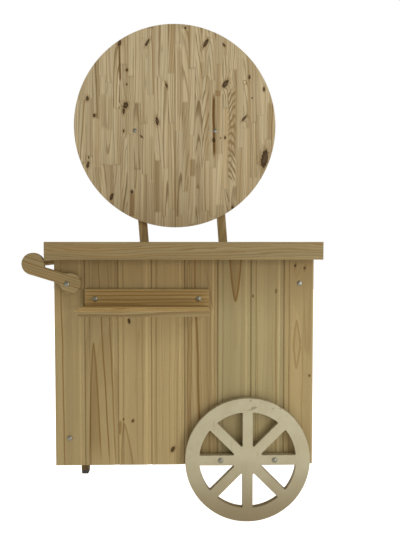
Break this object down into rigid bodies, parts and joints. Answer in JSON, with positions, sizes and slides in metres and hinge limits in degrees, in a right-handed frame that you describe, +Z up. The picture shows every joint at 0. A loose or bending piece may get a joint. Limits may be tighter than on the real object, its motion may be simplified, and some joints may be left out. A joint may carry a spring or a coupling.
{
  "type": "push vending cart",
  "caption": "Wooden push vending cart with a boarded front, counter, small front shelf, spoked board wheels, folding push handle and a round sign on two swaying posts.",
  "frame": {"origin": "on the ground, under the middle of the whole cart's box", "axes": "+X to the right as the customer sees it, +Y away from the customer, +Z up"},
  "size_m": [0.982, 0.6086, 1.8137],
  "materials": {
    "pine_boards": "clear matt varnish",
    "pine_edge_board": "clear matt varnish",
    "pine_lamella_top": "clear matt varnish",
    "pine_lamella_sign": "clear matt varnish",
    "pine_post": "clear matt varnish",
    "pine_frame": "planed, unfinished",
    "pine_shelf": "clear matt varnish",
    "pine_handle": "clear satin varnish",
    "wheel_board": "cream paint on board, bare brown edges",
    "spacer_wood": "turned, unfinished",
    "floor_ply": "sanded plywood",
    "leg_wood": "dark hardwood, oiled",
    "black_rubber": "moulded black rubber",
    "zinc_steel": "bright zinc plate"
  },
  "bodies": {
    "cart_body": {"cart_nuts": "zinc_steel", "counter_top": "pine_lamella_top", "fascia_front": "pine_edge_board", "fascia_left": "pine_edge_board", "fascia_rear": "pine_edge_board", "fascia_right": "pine_edge_board", "floor_board": "floor_ply", "frame_bolts": "zinc_steel", "front_board_1": "pine_boards", "front_board_2": "pine_boards", "front_board_3": "pine_boards", "front_board_4": "pine_boards", "front_board_5": "pine_boards", "front_board_6": "pine_boards", "front_board_7": "pine_boards", "front_board_8": "pine_boards", "handle_pivot_bolts": "zinc_steel", "leg": "leg_wood", "leg_bolts": "zinc_steel", "leg_tip": "black_rubber", "rail_front_bottom": "pine_frame", "rail_front_middle": "pine_frame", "rail_front_top": "pine_frame", "rail_rear_bottom": "pine_frame", "rail_rear_top": "pine_frame", "rung_left_bottom": "pine_frame", "rung_left_top": "pine_frame", "rung_right_bottom": "pine_frame", "rung_right_top": "pine_frame", "shelf_board": "pine_shelf", "shelf_bolts": "zinc_steel", "shelf_cleat": "pine_shelf", "side_board_left_1": "pine_boards", "side_board_left_2": "pine_boards", "side_board_left_3": "pine_boards", "side_board_left_4": "pine_boards", "side_board_right_1": "pine_boards", "side_board_right_2": "pine_boards", "side_board_right_3": "pine_boards", "side_board_right_4": "pine_boards", "sign_base_bolts": "zinc_steel", "stile_front_left": "pine_frame", "stile_front_right": "pine_frame", "stile_rear_left": "pine_frame", "stile_rear_right": "pine_frame", "wheel_bolts": "zinc_steel", "wheel_front": "wheel_board", "wheel_front_spacers": "spacer_wood", "wheel_rear": "wheel_board", "wheel_rear_spacers": "spacer_wood", "wood_screws": "zinc_steel"},
    "handle": {"handle_bracket_front": "pine_handle", "handle_bracket_rear": "pine_handle", "handle_bar": "pine_handle"},
    "left_post": {"sign_post_left": "pine_post"},
    "right_post": {"sign_post_right": "pine_post"},
    "sign": {"sign_left_half": "pine_lamella_sign", "sign_right_half": "pine_lamella_sign", "sign_top_bolts": "zinc_steel", "sign_nuts": "zinc_steel"}
  },
  "joints": [
    {"name": "handle_fold", "type": "hinge", "parent": "cart_body", "child": "handle", "pos_m": [-0.345, 0.0357, 0.788], "axis": [0, -1, 0], "range_deg": [0, 93]},
    {"name": "left_post_sway", "type": "hinge", "parent": "cart_body", "child": "left_post", "pos_m": [-0.132, 0.2822, 0.89], "axis": [0, 1, 0], "range_deg": [-23, 32]},
    {"name": "right_post_sway", "type": "hinge", "parent": "cart_body", "child": "right_post", "pos_m": [0.196, 0.2822, 0.89], "axis": [0, 1, 0], "range_deg": [-23, 32]},
    {"name": "sign_level", "type": "hinge", "parent": "left_post", "child": "sign", "pos_m": [-0.16951, 0.2822, 1.3831], "axis": [0, 1, 0], "range_deg": [-32, 23]}
  ],
  "couplings": [
    {"joint": "right_post_sway", "follows": "left_post_sway", "ratio": 1},
    {"joint": "sign_level", "follows": "left_post_sway", "ratio": -1}
  ]
}
